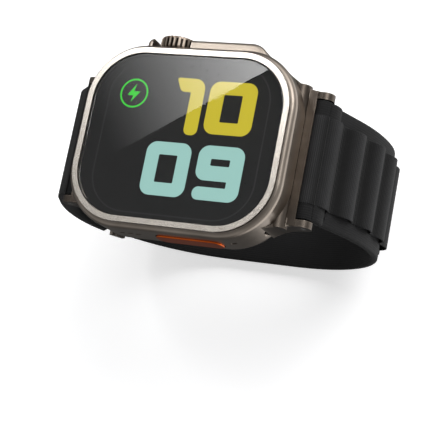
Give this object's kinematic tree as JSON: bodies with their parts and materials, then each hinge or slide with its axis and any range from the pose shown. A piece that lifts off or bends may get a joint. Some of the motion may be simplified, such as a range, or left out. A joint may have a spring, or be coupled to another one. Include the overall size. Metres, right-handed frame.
{
  "type": "smartwatch",
  "caption": "Rugged rectangular smartwatch with a guarded crown, side buttons and a woven hook-and-loop wrist band closed in a loop.",
  "frame": {"origin": "centre of the flat charging face on the back of the case", "axes": "+Z out of the display, +X to the six o'clock end of the case, +Y to the crown side"},
  "size_m": [0.0762, 0.0446, 0.0646],
  "materials": {
    "titanium": "bead-blasted natural titanium, warm grey",
    "titanium_dark": "machined titanium, knurled",
    "sapphire": "polished flat crystal",
    "ceramic": "satin black ceramic",
    "ceramic_gloss": "polished dark dome",
    "steel": "turned steel",
    "bronze": "bearing bronze",
    "aluminium": "machined aluminium",
    "black_plastic": "moulded black",
    "clear_plastic": "clear lens over the light source",
    "display_black": "dark display stack",
    "flex": "amber flexible circuit",
    "board": "circuit board",
    "battery_foil": "wrapped pouch cell",
    "copper": "wound copper",
    "rubber_seal": "soft seal",
    "orange_anodised": "burnt orange anodised",
    "band_fabric": "two layer woven polyester, near black"
  },
  "bodies": {
    "case": {"case": "titanium", "crown_guard": "titanium", "crystal": "sapphire", "crystal_gasket": "rubber_seal", "display_panel": "display_black", "display_flex": "flex", "antenna_ring": "black_plastic", "back_cover": "ceramic", "back_crystal": "ceramic_gloss", "back_gasket": "rubber_seal", "back_screws": "steel", "inner_frame": "aluminium", "frame_screws": "steel", "battery": "battery_foil", "haptic_motor": "steel", "mainboard": "board", "processor_package": "black_plastic", "speaker": "black_plastic", "speaker_mesh": "steel", "microphone": "steel", "pressure_sensor": "steel", "sensor_board": "board", "sensor_leds": "clear_plastic", "photodiodes": "display_black", "charging_coil": "copper", "alignment_magnet": "steel", "crown_bushing": "bronze", "crown_seal": "rubber_seal", "crown_switch": "black_plastic", "crown_sensor": "board", "side_switch": "black_plastic", "action_switch": "black_plastic", "band_connector_12": "titanium", "band_connector_6": "titanium", "band_bar_12": "steel", "band_bar_6": "steel"},
    "crown_slide": {"crown_carrier": "steel"},
    "crown": {"crown_knob": "titanium_dark", "crown_shaft": "steel", "crown_encoder": "black_plastic"},
    "side_button": {"side_button": "titanium", "side_button_clip": "steel"},
    "action_button": {"action_button": "orange_anodised", "action_button_clip": "steel"},
    "release_12": {"band_release_12": "titanium"},
    "release_6": {"band_release_6": "titanium"},
    "latch_12": {"band_latch_12": "steel"},
    "latch_6": {"band_latch_6": "steel"},
    "band_12": {"band_base_12": "band_fabric"},
    "band_6": {"band_base_6": "band_fabric", "band_loops_6": "band_fabric"},
    "hook": {"band_hook": "titanium"}
  },
  "joints": [
    {"name": "crown_press", "type": "slide", "parent": "case", "child": "crown_slide", "axis": [0, -1, 0], "range_m": [0, 0.0003], "stiffness_N_per_m": 600},
    {"name": "crown_turn", "type": "hinge", "parent": "crown_slide", "child": "crown", "pos_m": [-0.0072, 0.022, 0.0078], "axis": [0, 1, 0], "continuous": true},
    {"name": "side_button_press", "type": "slide", "parent": "case", "child": "side_button", "axis": [0, -1, 0], "range_m": [0, 0.00035], "stiffness_N_per_m": 600},
    {"name": "action_button_press", "type": "slide", "parent": "case", "child": "action_button", "axis": [0, 1, 0], "range_m": [0, 0.00035], "stiffness_N_per_m": 600},
    {"name": "band_release_12_press", "type": "slide", "parent": "case", "child": "release_12", "axis": [0, 0, 1], "range_m": [0, 0.0005], "stiffness_N_per_m": 400},
    {"name": "band_latch_12_lift", "type": "slide", "parent": "case", "child": "latch_12", "axis": [0, 0, 1], "range_m": [0, 0.0005], "stiffness_N_per_m": 400},
    {"name": "band_release_6_press", "type": "slide", "parent": "case", "child": "release_6", "axis": [0, 0, 1], "range_m": [0, 0.0005], "stiffness_N_per_m": 400},
    {"name": "band_latch_6_lift", "type": "slide", "parent": "case", "child": "latch_6", "axis": [0, 0, 1], "range_m": [0, 0.0005], "stiffness_N_per_m": 400},
    {"name": "band_12_swing", "type": "hinge", "parent": "case", "child": "band_12", "pos_m": [-0.0272, 0, 0.0043], "axis": [0, 1, 0], "range_deg": [0, 75]},
    {"name": "band_6_swing", "type": "hinge", "parent": "case", "child": "band_6", "pos_m": [0.0272, 0, 0.0043], "axis": [0, -1, 0], "range_deg": [0, 75]},
    {"name": "hook_tilt", "type": "hinge", "parent": "band_12", "child": "hook", "pos_m": [-0.03574, 0, -0.03498], "axis": [0, 1, 0], "range_deg": [0, 95]}
  ],
  "couplings": [
    {"joint": "band_latch_12_lift", "follows": "band_release_12_press", "ratio": 1},
    {"joint": "band_latch_6_lift", "follows": "band_release_6_press", "ratio": 1}
  ]
}
